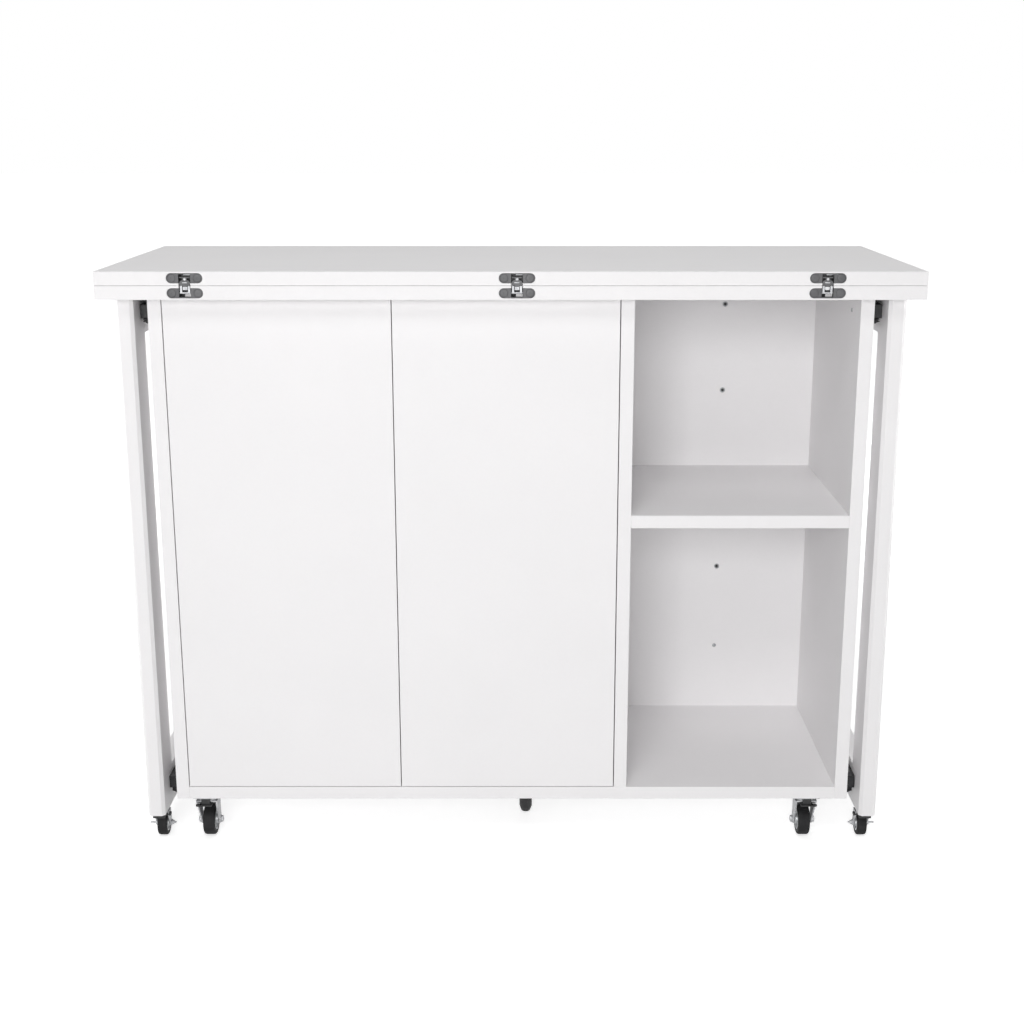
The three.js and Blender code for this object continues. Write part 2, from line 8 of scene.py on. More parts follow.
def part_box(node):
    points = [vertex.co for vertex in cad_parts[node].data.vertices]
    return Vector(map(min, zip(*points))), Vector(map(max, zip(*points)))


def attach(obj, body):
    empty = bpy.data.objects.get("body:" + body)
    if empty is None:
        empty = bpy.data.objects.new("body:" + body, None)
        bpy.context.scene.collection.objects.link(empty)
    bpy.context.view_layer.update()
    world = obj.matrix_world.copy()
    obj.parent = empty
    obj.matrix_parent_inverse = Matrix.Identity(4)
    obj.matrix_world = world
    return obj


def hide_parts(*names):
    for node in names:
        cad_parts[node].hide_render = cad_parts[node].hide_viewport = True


# Drop leaf kitchen island. Shapes are worked out in millimetres in the frame's axes and scaled
# to metres when a piece is finished. An axis is given as 0 for X, 1 for Y or 2 for Z.
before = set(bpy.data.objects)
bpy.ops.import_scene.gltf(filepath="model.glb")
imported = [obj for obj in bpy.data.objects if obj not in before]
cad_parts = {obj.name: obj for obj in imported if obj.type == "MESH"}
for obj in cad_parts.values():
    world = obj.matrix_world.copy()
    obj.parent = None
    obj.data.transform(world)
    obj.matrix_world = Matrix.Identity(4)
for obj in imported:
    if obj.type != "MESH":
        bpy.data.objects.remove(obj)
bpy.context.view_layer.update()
mm = 0.001
weldGap = 1e-4  # points nearer than this become one
past = 2  # how far a cutter stands out of what it cuts
print("frame loaded:", len(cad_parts), "nodes")


class Wire:
    # One socket of a node tree. Sums and products of wires add the nodes that do them.
    def __init__(self, tree, socket=None):
        self.tree = tree
        self.socket = socket

    def make(self, kind, settings=None, inputs=None, output=0):
        node = self.tree.nodes.new(kind)
        for name, value in (settings or {}).items():
            if name == "stops":
                self.setStops(node.color_ramp, value)
            else:
                setattr(node, name, value)
        for name, value in (inputs or {}).items():
            if isinstance(value, Wire):
                self.tree.links.new(value.socket, node.inputs[name])
            else:
                node.inputs[name].default_value = value
        return Wire(self.tree, node.outputs[output]) if len(node.outputs) else node

    def setStops(self, ramp, stops):
        # two stops, which is what a new ramp has
        for element, (place, shade) in zip(ramp.elements, stops):
            element.position = place
            element.color = (*shade, 1.0)

    def maths(self, operation, other):
        return self.make("ShaderNodeMath", {"operation": operation}, {0: self, 1: other})

    def __add__(self, other):
        return self.maths("ADD", other)

    __radd__ = __add__

    def __mul__(self, other):
        return self.maths("MULTIPLY", other)

    __rmul__ = __mul__

    def noise(self, scale, detail, roughness=0.5):
        values = {"Vector": self, "Scale": scale, "Detail": detail, "Roughness": roughness}
        return self.make("ShaderNodeTexNoise", {}, values)

    def ramp(self, *stops):
        return self.make("ShaderNodeValToRGB", {"stops": stops}, {"Fac": self})

    def stretched(self, scale):
        return self.make("ShaderNodeMapping", {}, {"Vector": self, "Scale": scale})

    def rays(self, kind):
        return self.make("ShaderNodeLightPath", output=f"Is {kind} Ray")

    def bump(self, distance):
        inputs = {"Height": self, "Strength": 1.0, "Distance": distance}
        return self.make("ShaderNodeBump", {}, inputs)


def startMaterial(name, fixed):
    # fixed values stand on the shader's own sockets
    material = bpy.data.materials.new(name)
    material.use_nodes = True
    shader = material.node_tree.nodes["Principled BSDF"]
    for socket, value in fixed.items():
        shader.inputs[socket].default_value = value
    place = Wire(material.node_tree).make("ShaderNodeTexCoord", output="Object")
    return material, place


def joinMaterial(material, **varied):
    # varied values come from wires
    shader = material.node_tree.nodes["Principled BSDF"]
    for socket, wire in varied.items():
        material.node_tree.links.new(wire.socket, shader.inputs[socket.replace("_", " ")])
    return material


# satin white lacquer on smooth board
whiteBoard = {
    "light": (0.900, 0.888, 0.894), "dark": (0.880, 0.868, 0.875), "roughness": (0.40, 0.50),
    "gloss": 0.35, "refraction": 1.45, "cloudScale": 5, "speckleScale": 260, "sheenScale": 38,
    "grainScale": 950, "waveScale": 22, "grainDepth": 0.00002,
}


def makeWhiteBoard(name, look):
    fixed = {"IOR": look["refraction"], "Specular IOR Level": look["gloss"]}
    material, place = startMaterial(name, fixed)
    clouds = place.noise(look["cloudScale"], detail=4)
    speckle = place.noise(look["speckleScale"], detail=2)
    shade = (clouds * 0.7 + speckle * 0.3).ramp((0.35, look["dark"]), (0.65, look["light"]))
    low, high = look["roughness"]
    rough = place.noise(look["sheenScale"], detail=5, roughness=0.6) * (high - low) + low
    grain = place.noise(look["grainScale"], detail=2)
    waves = place.noise(look["waveScale"], detail=1)
    bump = (grain + waves * 2.0).bump(look["grainDepth"])
    return joinMaterial(material, Base_Color=shade, Roughness=rough, Normal=bump)


# bright zinc on pressed steel, a little cloudy, with fine drawn lines
zincSteel = {
    "light": (0.56, 0.565, 0.575), "dark": (0.36, 0.365, 0.38), "roughness": (0.48, 0.64),
    "metallic": 0.7, "cloudScale": 140, "lineScale": (90, 90, 1400), "grainDepth": 0.00002,
}


def makeSteel(name, look):
    material, place = startMaterial(name, {"Metallic": look["metallic"]})
    clouds = place.noise(look["cloudScale"], detail=4, roughness=0.62)
    shade = clouds.ramp((0.34, look["dark"]), (0.62, look["light"]))
    lines = place.stretched(look["lineScale"]).noise(1.0, detail=2)
    low, high = look["roughness"]
    rough = (clouds * 0.5 + lines * 0.5) * (high - low) + low
    bump = (lines + clouds * 0.4).bump(look["grainDepth"])
    return joinMaterial(material, Base_Color=shade, Roughness=rough, Normal=bump)


# satin grey sprayed on cast hinge bodies
hingeCap = {
    "light": (0.112, 0.112, 0.116), "dark": (0.080, 0.080, 0.084),
    "roughness": (0.42, 0.55), "metallic": 0.2, "gloss": 0.5,
    "grainScale": 1100, "grainDepth": 0.00003,
}

# black powder coat on the slides
blackSteel = {
    "light": (0.024, 0.024, 0.026), "dark": (0.012, 0.012, 0.013),
    "roughness": (0.34, 0.46), "metallic": 0.2, "gloss": 0.5,
    "grainScale": 900, "grainDepth": 0.00002,
}

# moulded black plastic with a fine spark texture, its shade set darker than the plastic's own as
# painted shade, for the blocks that sit in shadow under the board
blackPlasticAndShade = {
    "light": (0.015, 0.015, 0.016), "dark": (0.008, 0.008, 0.009),
    "roughness": (0.42, 0.56), "metallic": 0.0, "gloss": 0.5,
    "grainScale": 1500, "grainDepth": 0.00003,
}

# rubber tread, dull and a little dusty
tyreRubber = {
    "light": (0.025, 0.025, 0.026), "dark": (0.012, 0.012, 0.013),
    "roughness": (0.62, 0.80), "metallic": 0.0, "gloss": 0.2,
    "grainScale": 700, "grainDepth": 0.00006,
}

# light grey moulded wheel centre
wheelGrey = {
    "light": (0.56, 0.57, 0.58), "dark": (0.40, 0.41, 0.42),
    "roughness": (0.34, 0.48), "metallic": 0.4, "gloss": 0.5,
    "grainScale": 1200, "grainDepth": 0.00003,
}
mouldedScales = {"clouds": 60, "sheen": 240}


def makeMoulded(name, look):
    fixed = {"Metallic": look["metallic"], "Specular IOR Level": look["gloss"]}
    material, place = startMaterial(name, fixed)
    clouds = place.noise(mouldedScales["clouds"], detail=5, roughness=0.6)
    shade = clouds.ramp((0.32, look["dark"]), (0.66, look["light"]))
    low, high = look["roughness"]
    rough = place.noise(mouldedScales["sheen"], detail=3) * (high - low) + low
    bump = place.noise(look["grainScale"], detail=2).bump(look["grainDepth"])
    return joinMaterial(material, Base_Color=shade, Roughness=rough, Normal=bump)


# the part's slot and the material of each finish
finishes = {
    "board": ("white_board", makeWhiteBoard("whiteBoard", whiteBoard)),
    "zinc": ("zinc_steel", makeSteel("zincSteel", zincSteel)),
    "cap": ("hinge_cap", makeMoulded("hingeCapGrey", hingeCap)),
    "blackSteel": ("black_steel", makeMoulded("blackSteel", blackSteel)),
    "plastic": ("black_plastic", makeMoulded("blackPlasticAndShade", blackPlasticAndShade)),
    "tyre": ("tyre", makeMoulded("tyreRubber", tyreRubber)),
    "wheelGrey": ("zinc_steel", makeMoulded("wheelGrey", wheelGrey)),
}
print("materials made:", len(finishes))


def box(node):
    low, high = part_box(node)
    return low / mm, high / mm


def centreOf(node):
    low, high = box(node)
    return [(a + b) / 2 for a, b in zip(low, high)]


def shifted(base, corners):
    return [[a + b for a, b in zip(base, corner)] for corner in corners]


def span(start, sign, near, far):
    # two places, measured from the start in the sign's direction, the lower first
    return sorted((start + sign * near, start + sign * far))


def mirrored(lower):
    # an outline whose upper half is the lower one turned over
    return lower + [(u, -v) for u, v in reversed(lower)]


def addBlock(bm, low, high):
    size = Vector(high) - Vector(low)
    middle = (Vector(high) + Vector(low)) / 2
    place = Matrix.Translation(middle) @ Matrix.Diagonal((*size, 1))
    return bmesh.ops.create_cube(bm, size=1, matrix=place)["verts"]


def edgesAlong(verts, axis):
    edges = {edge for vert in verts for edge in vert.link_edges}
    picked = []
    for edge in edges:
        run = edge.verts[1].co - edge.verts[0].co
        if run.length > weldGap and abs(run.normalized()[axis]) > 0.999:
            picked.append(edge)
    return picked


def roundOff(bm, edges, radius, segments=6):
    bmesh.ops.bevel(
        bm, geom=edges, offset=radius, offset_type="OFFSET", affect="EDGES",
        segments=segments, profile=0.5, material=-1, clamp_overlap=True,
    )


def addRounded(bm, low, high, axis, radius, segments=6):
    # a block whose four edges along one axis are round
    roundOff(bm, edgesAlong(addBlock(bm, low, high), axis), radius, segments)


def addObround(bm, low, high, radius):
    # the radius stays just under half the height, so that the corners don't meet
    addRounded(bm, low, high, 1, radius * 0.999, 10)


def addTurned(bm, profile, centre, axis, steps=48, closed=False):
    # profile is given as (place along the axis, radius)
    along = Vector((axis == 0, axis == 1, axis == 2))
    across = Vector((0, 0, 1)) if axis != 2 else Vector((1, 0, 0))
    points = [Vector(centre) + along * a + across * radius for a, radius in profile]
    verts = [bm.verts.new(point) for point in points]
    ends = verts[1:] + verts[:1] if closed else verts[1:]
    edges = [bm.edges.new(pair) for pair in zip(verts, ends)]
    bmesh.ops.spin(
        bm, geom=verts + edges, cent=centre, axis=along, angle=2 * math.pi,
        steps=steps, use_merge=True,
    )


def addRod(bm, radius, start, end, centre, axis, chamfer=0.3, steps=24):
    profile = [
        (start, 0), (start, radius - chamfer), (start + chamfer, radius),
        (end - chamfer, radius), (end, radius - chamfer), (end, 0),
    ]
    addTurned(bm, profile, centre, axis, steps)


def addPrism(bm, outline, axis, start, end):
    # outline is given on the other two axes, in their order
    verts = [bm.verts.new((*point[:axis], start, *point[axis:])) for point in outline]
    grown = bmesh.ops.extrude_face_region(bm, geom=[bm.faces.new(verts)])["geom"]
    moved = [item for item in grown if isinstance(item, bmesh.types.BMVert)]
    run = [0, 0, 0]
    run[axis] = end - start
    bmesh.ops.translate(bm, verts=moved, vec=run)
    return verts + moved


def addHex(bm, across, start, end, centre, axis):
    # a hexagon head with its corners taken down
    radius = across / math.sqrt(3)
    quarter = math.pi / 2
    turns = Matrix.Rotation(quarter, 4, "Y"), Matrix.Rotation(quarter, 4, "X"), Matrix.Identity(4)
    low, high = sorted((start, end))
    spot = Vector((0, 0, 0))
    spot[axis] = (low + high) / 2
    place = Matrix.Translation(spot) @ Matrix.Translation(Vector(centre)) @ turns[axis]
    verts = bmesh.ops.create_cone(
        bm, cap_ends=True, segments=6, radius1=radius, radius2=radius, depth=high - low,
        matrix=place,
    )["verts"]
    rims = {edge for vert in verts for edge in vert.link_edges}
    ends = [edge for edge in rims if abs((edge.verts[1].co - edge.verts[0].co)[axis]) < weldGap]
    roundOff(bm, ends, across * 0.06, 2)


def made(add, *values, **more):
    # a new bmesh with the one thing that the add function gives
    bm = bmesh.new()
    add(bm, *values, **more)
    return bm


def weld(bm):
    bmesh.ops.remove_doubles(bm, verts=bm.verts, dist=weldGap)
    bmesh.ops.recalc_face_normals(bm, faces=bm.faces)


def toMesh(bm, name):
    mesh = bpy.data.meshes.new(name)
    bm.to_mesh(mesh)
    bm.free()
    return mesh


def joinIn(bm, *others):
    for other in others:
        weld(other)
        mesh = toMesh(other, "joined")
        bm.from_mesh(mesh)
        bpy.data.meshes.remove(mesh)


def cutAway(solid, *cutters):
    # the solid without the cutters, as a new bmesh; done in a scene of its own, which is quicker
    bench = bpy.data.scenes.new("bench")
    objects = []
    for bm in (solid, *cutters):
        weld(bm)
        item = bpy.data.objects.new("cut", toMesh(bm, "cut"))
        bench.collection.objects.link(item)
        objects.append(item)
    target, *tools = objects
    for tool in tools:
        cut = target.modifiers.new("cut", "BOOLEAN")
        cut.operation = "DIFFERENCE"
        cut.solver = "EXACT"
        cut.use_self = True
        cut.object = tool
    layer = bench.view_layers[0]
    layer.update()
    shown = target.evaluated_get(layer.depsgraph)
    result = bmesh.new()
    result.from_mesh(shown.to_mesh())
    for item in tools + [target]:
        mesh = item.data
        bpy.data.objects.remove(item)
        bpy.data.meshes.remove(mesh)
    bpy.data.scenes.remove(bench)
    return result


def placeObject(name, data):
    thing = bpy.data.objects.new(name, data)
    bpy.context.scene.collection.objects.link(thing)
    return thing


def addPiece(bm, name, body, finish, nodes=(), bevel=0.0, segments=2, sharpAngle=32):
    weld(bm)
    bmesh.ops.scale(bm, vec=(mm, mm, mm), verts=bm.verts)
    for face in bm.faces:
        face.smooth = True
    for edge in bm.edges:
        turn = edge.calc_face_angle(0.0)
        edge.smooth = turn < math.radians(sharpAngle) or bevel > 0
    mesh = toMesh(bm, name)
    piece = placeObject(name, mesh)
    slot, material = finishes[finish]
    mesh.materials.append(material)
    if bevel:
        easing = piece.modifiers.new("edges", "BEVEL")
        easing.width = bevel * mm
        easing.segments = segments
        easing.limit_method = "ANGLE"
        easing.angle_limit = math.radians(sharpAngle)
        easing.harden_normals = True
        easing.miter_outer = "MITER_ARC"
    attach(piece, body)
    if nodes:
        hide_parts(*nodes)


def addBar(name, body, finish, base, corners, rounding):
    # a block with round edges; its two corners are measured from the base
    bar = made(addBlock, *shifted(base, corners))
    roundOff(bar, list(bar.edges), rounding, 2)
    addPiece(bar, name, body, finish)


def makeBoard(node, name, body, edge, cutters=()):
    board = made(addBlock, *box(node))
    if cutters:
        board = cutAway(board, *cutters)
    addPiece(board, name, body, "board", [node], edge, 3)


def roundHole(radius, start, end, centre, axis, steps=32):
    return made(addRod, radius, start, end, centre, axis, 0.01, steps)


# pan heads: radius and height of each kind, and the shape as shares of them
screwSizes = {
    "back": (3.4, 1.6), "slide": (3.2, 1.6), "cup": (1.9, 0.7), "plate": (3.6, 1.6),
    "adjuster": (3.0, 1.0), "caster": (3.4, 1.7), "foot": (2.8, 1.4),
}
screwShape = {
    "outline": ((0, 0), (0, 1), (0.45, 0.97), (0.8, 0.78), (1, 0.42), (1, 0)), "steps": 20,
    "crossLength": 0.62, "crossWidth": 0.16, "crossFloor": 0.35,
}


def crossCutter(centre, axis, facing, radius, height):
    cutter = bmesh.new()
    long = radius * screwShape["crossLength"]
    thin = radius * screwShape["crossWidth"]
    base, top = sorted((facing * height * screwShape["crossFloor"], facing * (height + 0.5)))
    others = [i for i in range(3) if i != axis]
    for halves in ((long, thin), (thin, long)):
        low, high = Vector(centre), Vector(centre)
        for i, half in zip(others, halves):
            low[i] -= half
            high[i] += half
        low[axis] += base
        high[axis] += top
        addBlock(cutter, low, high)
    return cutter


def addScrews(name, body, spots, axis, facing, kind):
    # like screws in one piece, their undersides at the spots, facing +1 or -1 on the axis
    radius, height = screwSizes[kind]
    outline = [(facing * height * a, radius * r) for a, r in screwShape["outline"]]
    heads = bmesh.new()
    recesses = bmesh.new()
    for spot in spots:
        addTurned(heads, outline, spot, axis, screwShape["steps"])
        joinIn(recesses, crossCutter(spot, axis, facing, radius, height))
    addPiece(cutAway(heads, recesses), name, body, "zinc")


cameraSetup = {
    "place": (0.01796, -2.4189, 1.1259),
    "pitch": 14.4618,  # degrees down
    "focalPixels": 1517.5, "imageWidth": 1024, "shiftPixels": -11.25, "sensorWidth": 36,
}


def makeCamera(setup):
    camera = bpy.data.cameras.new("camera")
    camera.sensor_fit = "HORIZONTAL"
    camera.sensor_width = setup["sensorWidth"]
    camera.lens = setup["sensorWidth"] * setup["focalPixels"] / setup["imageWidth"]
    camera.shift_x = setup["shiftPixels"] / setup["imageWidth"]
    holder = placeObject("camera", camera)
    holder.location = setup["place"]
    holder.rotation_euler = (math.radians(90 - setup["pitch"]), 0, 0)
    bpy.context.scene.camera = holder


makeCamera(cameraSetup)
print("camera placed")


# fixed slab and leaf, with the hinges' pockets in their front edges
slabLook = {"edge": 0.7, "pocketGap": 0.3, "slotDepth": 12, "slotWidth": 17, "slotPast": 1}
hingePlaces = ("left", "middle", "right")


def makeSlab(node, part, name, body):
    low, high = box(node)
    look = slabLook
    gap = look["pocketGap"]
    half = look["slotWidth"] / 2
    joint = high.z + look["slotPast"] if part == "fixed" else low.z - look["slotPast"]
    cutters = []
    for place in hingePlaces:
        hinge = f"table_hinge_{place}_{part}_body"
        hingeLow, hingeHigh = box(hinge)
        pocket = made(
            addObround, (hingeLow.x - gap, low.y - past, hingeLow.z - gap),
            (hingeHigh.x + gap, hingeHigh.y + gap, hingeHigh.z + gap),
            (hingeHigh.z - hingeLow.z) / 2 + gap,
        )
        # from the pocket to the joint between the slabs, for the link
        middle, _, centre = centreOf(hinge)
        slot = made(
            addBlock, (middle - half, low.y - past, min(centre, joint)),
            (middle + half, low.y + look["slotDepth"], max(centre, joint)),
        )
        cutters += [pocket, slot]
    makeBoard(node, name, body, look["edge"], cutters)


makeSlab("fixed_top", "fixed", "fixedTopSlab", "island")
makeSlab("leaf", "leaf", "foldingLeafSlab", "leaf")
print("table top made")


hingeLook = {
    "recess": 0.5,  # body's face behind the slab's edge
    "edge": 0.5, "pocketWidth": 17, "pocketDepth": 18.5, "wall": 1.3, "capRadius": 5.6,
    "capReach": 18.6,  # cap centre from the hinge's middle
    "capHeight": 0.4,
    "ringWidth": 0.45,  # groove around a cap
    "ringDepth": 0.5,
    # low and high corners from the hinge's middle, the slab's edge and the fixed body's bottom
    "stop": ((-1.6, 8.7, 1.3), (8.3, 16, 5.6)), "springBox": ((-8.3, 10, 2), (-1.6, 18.3, 9)),
    # and from the leaf body's top
    "keeper": ((-1.8, 4.3, -3.0), (8.3, 7.4, -1.3)),
    "pinRadius": 1.4, "pinReach": 8.6,
    "pinDepth": 6,
}


def makeHingeBody(place, part, body, upward):
    node = f"table_hinge_{place}_{part}_body"
    low, high = box(node)
    look = hingeLook
    face = low.y + look["recess"]
    middle, _, centre = centreOf(node)
    tall = (high.z - low.z) / 2
    solid = made(addObround, (low.x, face, low.z), (high.x, high.y, high.z), tall)
    # the pocket has a wall on one side and is open towards the other slab
    half = look["pocketWidth"] / 2
    wall = centre + upward * (tall - look["wall"])
    openEnd = centre - upward * (tall + past)
    pocket = made(
        addBlock, (middle - half, face - past, min(wall, openEnd)),
        (middle + half, low.y + look["pocketDepth"], max(wall, openEnd)),
    )
    # the two round covers over the screws, each in a fine groove
    radius = look["capRadius"]
    outer = radius + look["ringWidth"]
    depth = look["ringDepth"]
    lift = look["capHeight"]
    groove = [(-1, radius), (-1, outer), (depth, outer), (depth, radius)]
    cover = [
        (0.6, 0), (0.6, radius - 0.1), (-lift * 0.3, radius - 0.1), (-lift * 0.8, radius - 0.5),
        (-lift, radius - 1.2), (-lift, 1.2), (-lift * 0.4, 0.9), (-lift * 0.4, 0),
    ]
    rims = []
    covers = bmesh.new()
    for side in (-1, 1):
        spot = (middle + side * look["capReach"], face, centre)
        rims.append(made(addTurned, groove, spot, 1, 32, closed=True))
        addTurned(covers, cover, spot, 1, 32)
    title = f"{place}Hinge{part.capitalize()}"
    carved = cutAway(solid, pocket, *rims)
    addPiece(carved, f"{title}Body", body, "cap", [node], look["edge"], 2)
    addPiece(covers, f"{title}Covers", body, "cap")


def makeHingeFittings(place):
    node = f"table_hinge_{place}_fixed_body"
    low = box(node)[0]
    leafTop = box(f"table_hinge_{place}_leaf_body")[1].z
    look = hingeLook
    middle, _, centre = centreOf(node)
    base = (middle, low.y, low.z)
    # a pale stop at the bottom of the fixed pocket and a dark spring box beside it
    addBar(f"{place}HingeStop", "island", "board", base, look["stop"], 0.4)
    addBar(f"{place}HingeSpringBox", "island", "plastic", base, look["springBox"], 0.4)
    # the pivot pin across the fixed pocket
    spot = (middle, low.y + look["pinDepth"], centre)
    pin = made(addRod, look["pinRadius"], -look["pinReach"], look["pinReach"], spot, 0)
    addPiece(pin, f"{place}HingePin", "island", "zinc")
    # a keeper strip at the top of the leaf's pocket
    addBar(f"{place}HingeKeeper", "leaf", "zinc", (middle, low.y, leafTop), look["keeper"], 0.3)


linkLook = {
    # low and high corners from the hinge's middle and the link's pivot
    "stirrup": ((-7.4, -3.4, -0.8), (7.4, 2.4, 10.4)),
    "window": ((-4.1, -6.4, 1.1), (4.1, 5.4, 12)),
    "tongue": ((-3.4, -2.8, 4.2), (3.4, 1.6, 9.4)),
    "bridge": ((-4.0, -3.5, 14.2), (3.4, -2.0, 15.6)),
    # the arm seen from the front: it reaches into the leaf's pocket and ends in a T
    "arm": [
        (-3.0, 8.8), (3.0, 8.8), (3.6, 10.6), (7.6, 11.6), (7.9, 15.2), (6.4, 17.6), (3.2, 18.6),
        (3.2, 21.2), (7.8, 21.4), (7.8, 23.0), (-7.8, 23.0), (-7.8, 21.4), (-3.2, 21.2),
        (-3.2, 18.6), (-6.4, 17.6), (-7.9, 15.2), (-7.6, 11.6), (-3.6, 10.6),
    ],
    "armFront": -3.1, "armBack": 2.4,
    "rivet": (2.0, -3.6, 2.4),  # radius, front and back
    "rivetHeight": 19.8,
}


def makeHingeLink(place):
    node = f"table_hinge_{place}_link"
    body = f"hinge_link_{place}"
    look = linkLook
    middle, pivotY, _ = centreOf(node)
    pivotZ = centreOf(f"table_hinge_{place}_fixed_body")[2]
    base = (middle, pivotY, pivotZ)
    # a bright U stirrup with a window, and the tongue in it
    stirrup = made(addRounded, *shifted(base, look["stirrup"]), 1, 1.2, 4)
    window = made(addBlock, *shifted(base, look["window"]))
    addPiece(cutAway(stirrup, window), f"{place}HingeStirrup", body, "zinc", [node], 0.35, 2)
    tongue = made(addRounded, *shifted(base, look["tongue"]), 1, 0.8, 3)
    addPiece(tongue, f"{place}HingeTongue", body, "zinc", (), 0.3, 2)
    outline = [(middle + u, pivotZ + v) for u, v in look["arm"]]
    arm = made(addPrism, outline, 1, pivotY + look["armFront"], pivotY + look["armBack"])
    addPiece(arm, f"{place}HingeArm", body, "cap", (), 0.35, 2)
    addBar(f"{place}HingeBridge", body, "zinc", base, look["bridge"], 0.3)
    rivet = made(addRod, *look["rivet"], (middle, pivotY, pivotZ + look["rivetHeight"]), 1, 0.5)
    addPiece(rivet, f"{place}HingeRivet", body, "zinc")


for place in hingePlaces:
    makeHingeBody(place, "fixed", "island", -1)
    makeHingeBody(place, "leaf", "leaf", 1)
    makeHingeFittings(place)
    makeHingeLink(place)
print("table hinges made")


boardLook = {
    "edge": 0.7, "holeRadius": 4.6, "holeDepth": 4.5,
    # sockets, dark from the black hexagon of painted shade in each, and the one bright screw on the
    # back panel, as (x, z)
    "sockets": ((359, 822.9), (359, 676), (359, 361.7)), "brightScrew": (359, 214.4),
    # a socket's steel ring, as (depth, radius), and a black hexagon in its hollow, painted shade
    # for the hollow's dark inside
    "ring": [
        (3.0, 0), (3.0, 4.4), (0.2, 4.4), (-0.3, 4.1), (-0.3, 3.2), (0.6, 2.9), (1.6, 2.6),
        (1.6, 0),
    ],
    "shadeHexAcross": 4.6, "shadeHexDepth": (0.9, 1.7),
    # head of the slide's screw on the right side's inner face, as (y, z)
    "slideScrew": (-136.8, 847.6),
}
plainBoards = {
    "side_left": "leftSidePanel", "side_right": "rightSidePanel", "bottom_panel": "bottomPanel",
    "divider": "dividerPanel", "open_shelf": "openShelf", "inner_shelf": "innerShelf",
    "top_rail": "topRail",
}


def makeCabinet():
    look = boardLook
    face = box("back_panel")[0].y
    holes = [
        roundHole(look["holeRadius"], -1, look["holeDepth"], (x, face, z), 1)
        for x, z in look["sockets"]
    ]
    makeBoard("back_panel", "backPanel", "island", look["edge"], holes)
    for node, name in plainBoards.items():
        makeBoard(node, name, "island", look["edge"])
    for index, (x, z) in enumerate(look["sockets"]):
        ring = made(addTurned, look["ring"], (x, face, z), 1, 32)
        addPiece(ring, f"backSocket{index}", "island", "zinc")
        # a black hexagon inside the ring: painted shade where the hexagon hollow is dark
        shadeHex = made(addHex, look["shadeHexAcross"], *look["shadeHexDepth"], (x, face, z), 1)
        addPiece(shadeHex, f"backSocketHollow{index}", "island", "plastic")
    x, z = look["brightScrew"]
    addScrews("backScrew", "island", [(x, face, z)], 1, -1, "back")
    y, z = look["slideScrew"]
    addScrews("slideFixingScrew", "island", [(box("side_right")[0].x, y, z)], 0, -1, "slide")


makeCabinet()
print("cabinet made")


doorLook = {"edge": 0.8, "cupRadius": 17, "cupGap": 0.3, "cupDepth": 11.3}
doorHinge = {
    # the cup with its flange, as (place from the door's back, radius)
    "cup": [
        (1, 15.8), (1, 19.0), (0.6, 19.4), (0.05, 19.4), (0.05, 17), (-10.4, 17), (-10.9, 16.4),
        (-10.9, 0), (-9.8, 0), (-9.8, 15.0), (-9.2, 15.7),
    ],
    "cupScrewLift": 0.9, "cupScrewRise": 17.4,
    # depths are from the arm's front end, heights from the board it stands on
    "plateFront": 6.2, "plateThick": 2.4, "plateCorner": 5, "plateScrewDepth": 34,
    "plateScrewRise": 17, "armFront": 0.2, "armHeights": (2, 14), "armHalf": 7,
    "armFall": 6,  # towards the back
    "neckHeights": (13, 19.8), "neckEnd": 5.8, "neckHalf": 6.8, "adjusters": (14, 30),
    "adjusterHeight": 13.6,
}
levels = ("lower", "upper")


def makeDoor(side):
    node = f"door_{side}"
    back = box(node)[1].y
    radius = doorLook["cupRadius"] + doorLook["cupGap"]
    holes = []
    for level in levels:
        x, _, z = centreOf(f"{node}_hinge_cup_{level}")
        holes.append(roundHole(radius, -doorLook["cupDepth"], past, (x, back, z), 1))
    makeBoard(node, f"{side}Door", node, doorLook["edge"], holes)


def makeHingeCup(side, level, title):
    door = f"door_{side}"
    look = doorHinge
    node = f"{door}_hinge_cup_{level}"
    back = box(door)[1].y
    x, _, z = centreOf(node)
    cup = made(addTurned, look["cup"], (x, back, z), 1)
    addPiece(cup, f"{title}Cup", door, "zinc", [node])
    spots = [(x, back + look["cupScrewLift"], z + way * look["cupScrewRise"]) for way in (-1, 1)]
    addScrews(f"{title}CupScrews", door, spots, 1, 1, "cup")


